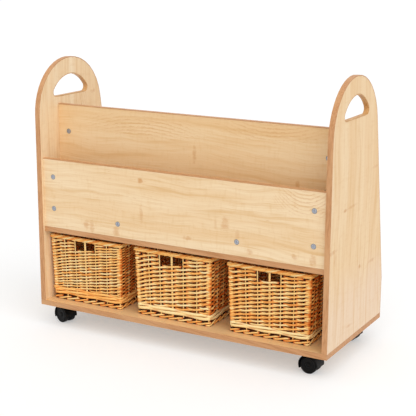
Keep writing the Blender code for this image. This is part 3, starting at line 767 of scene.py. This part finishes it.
# The woven bottom: its level, how far in from the sides it ends and how deep it counts
# for the painted shade, its sticks, and its canes: their step, how far they reach past the
# sticks, their swing over and under them, their half width and half thickness, and their
# tint.
FLOOR_LEVEL, FLOOR_INSET, BOTTOM_SHADE_DEPTH = 0.0100, 0.020, 0.2
STICKS, STICK_POINTS, STICK_RADIUS, STICK_TINT = 9, 12, 0.0021, 0.25
CANE_STEP, CANE_POINTS, CANE_OVERHANG, CANE_SWING = 0.0050, 74, 0.003, 0.0030
CANE_TALL, CANE_THICK, CANE_TINT, CANE_TINT_SPREAD = 0.0024, 0.0013, 0.15, 0.3


def floor_strands(pick):
    """The woven bottom: sticks from front to rear, and cane woven over and under them."""
    half_x, half_y = BASKET_HALF[0] - FLOOR_INSET, BASKET_HALF[1] - FLOOR_INSET
    sticks = np.linspace(-half_x, half_x, STICKS)
    upright = np.array([0.0, 0.0, 1.0])
    strands = []
    for x in sticks:
        line = np.array([(x, y, FLOOR_LEVEL) for y in np.linspace(-half_y, half_y, STICK_POINTS)])
        strands.append(Strand(line, np.tile(upright, (STICK_POINTS, 1)), STICK_RADIUS,
                              STICK_RADIUS, False, STICK_TINT, BOTTOM_SHADE_DEPTH))
    spacing = sticks[1] - sticks[0]
    x = np.linspace(-half_x - CANE_OVERHANG, half_x + CANE_OVERHANG, CANE_POINTS)
    for row, y in enumerate(np.arange(-half_y, half_y, CANE_STEP)):
        lift = CANE_SWING * np.cos(pi * ((x - sticks[0]) / spacing + row))
        line = np.stack([x, np.full(CANE_POINTS, y), FLOOR_LEVEL + lift], 1)
        strands.append(Strand(line, np.tile(upright, (CANE_POINTS, 1)), CANE_TALL, CANE_THICK,
                              False, CANE_TINT + CANE_TINT_SPREAD * pick.random(), BOTTOM_SHADE_DEPTH))
    return strands


# The cane's finish, by tint from brown to pale, with fibres and broad clouds along each
# strand. Painted shade darkens it towards a strand's edges and where it dips behind a stake,
# and painted shade makes it nearly black in the slots between the rows.
CANE_TONES = [(0.00, colour(222, 116, 42)), (0.35, colour(255, 184, 96)),
              (0.65, colour(255, 210, 132)), (1.00, colour(255, 232, 172))]
CANE_DARK_FIBRE_AND_SHADE, CANE_SLOT_SHADE = colour(220, 102, 32), colour(34, 7, 2)
FIBRE_STRETCH, CLOUD_STRETCH = (60.0, 5.0, 900.0), (14.0, 0.6, 700.0)
CLOUD_SWING, FIBRE_SWING, FIBRE_SHARE = 0.7, 0.35, 0.45
SEAM_SHADE_SHARE, RECESS_SHADE_SHARE, SLOT_SHADE_SHARE = 0.45, 0.85, 0.96
SLOT_STEEP, SLOT_FROM, SLOT_SOFT = 9, 7.4, 0.50
FIBRE_SPAN, SEAM_SHADE_SPAN, RECESS_SHADE_SPAN = (0.6, 0.78), (0.50, 1.0), (0.50, 0.84)
CANE_ROUGH, CANE_SHINE, CANE_BUMP = (0.46, 0.18), 0.12, (0.3, 0.0002)

cane, sockets, start = material("woven_cane")
tint = start.add("Attribute", {"attribute_name": "tint"}, {}, "Fac")
# The depth in the weave, which drives the painted shade.
deep = start.add("Attribute", {"attribute_name": "deep"}, {}, "Fac")
strand = start.add("Attribute", {"attribute_name": "strand"}, {}, "Vector")
fibre, cloud = [start.add("TexNoise", {}, {
    "Vector": start.add("VectorMath", {"operation": "MULTIPLY"}, {0: strand, 1: stretch}),
    "Scale": 1.0, "Detail": detail, "Roughness": rough})
    for stretch, detail, rough in ((FIBRE_STRETCH, 3.0, 0.6), (CLOUD_STRETCH, 2.0, 0.5))]
level = tint + (cloud - 0.5) * CLOUD_SWING + (fibre - 0.5) * FIBRE_SWING
tone = start.add("ValToRGB", {"stops": CANE_TONES}, {"Fac": level})
tone = (fibre.between(*FIBRE_SPAN) * FIBRE_SHARE).mix(tone, CANE_DARK_FIBRE_AND_SHADE)
# Painted shade towards a strand's upper and lower edges, in the seams between rows, and where it
# lies deep in the weave. The dark colour also serves the real fibre streaks.
off_middle = start.add("SeparateXYZ", {}, {"Vector": strand}, "Y")
edge = off_middle * off_middle
tone = (edge.between(*SEAM_SHADE_SPAN) * SEAM_SHADE_SHARE
        + deep.between(*RECESS_SHADE_SPAN) * RECESS_SHADE_SHARE).mix(tone, CANE_DARK_FIBRE_AND_SHADE)
# Painted shade, nearly black, in the slots where a weaver lies deepest behind a stake.
slot_shade = (deep * SLOT_STEEP - SLOT_FROM - edge).between(0.0, SLOT_SOFT)
feed((slot_shade * SLOT_SHADE_SHARE).mix(tone, CANE_SLOT_SHADE), sockets["Base Color"])
feed(CANE_ROUGH[0] + fibre * CANE_ROUGH[1], sockets["Roughness"])
sockets["Specular IOR Level"].default_value = CANE_SHINE
emboss(start, sockets, fibre, *CANE_BUMP)

FIRST_SEED = 31
for number, (side, weave) in enumerate(WEAVES.items()):
    pick = Random(FIRST_SEED + number)
    low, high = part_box(side + "_basket_rim")
    foot_low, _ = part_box(side + "_basket_foot")
    place = ((low.x + high.x) / 2, (low.y + high.y) / 2, foot_low.z)
    wall = (wall_strands(weave, pick) + stake_strands(weave, pick) + floor_strands(pick)
            + wale_strands(weave, pick))
    top = border_strands(pick, BASKET_HEIGHT - RIM_TALL / 2, WALL_MIDDLE, RIM_TALL, RIM_THICK,
                         TOP_BORDER)
    foot = border_strands(pick, FOOT_TALL / 2, -FOOT_THICK / 2, FOOT_TALL, FOOT_THICK,
                          FOOT_BORDER)
    for part, strands, stood_for in (("weave", wall, "body"), ("top_border", top, "rim"),
                                     ("foot_border", foot, "foot")):
        mesh = strand_mesh(side + "_basket_" + part, strands)
        mesh.transform(Matrix.Translation(place))
        mesh.materials.append(cane)
        piece = bpy.data.objects.new(f"{side}_basket_{part}", mesh)
        bpy.context.scene.collection.objects.link(piece)
        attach(piece, side + "_basket")
        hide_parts(f"{side}_basket_{stood_for}")
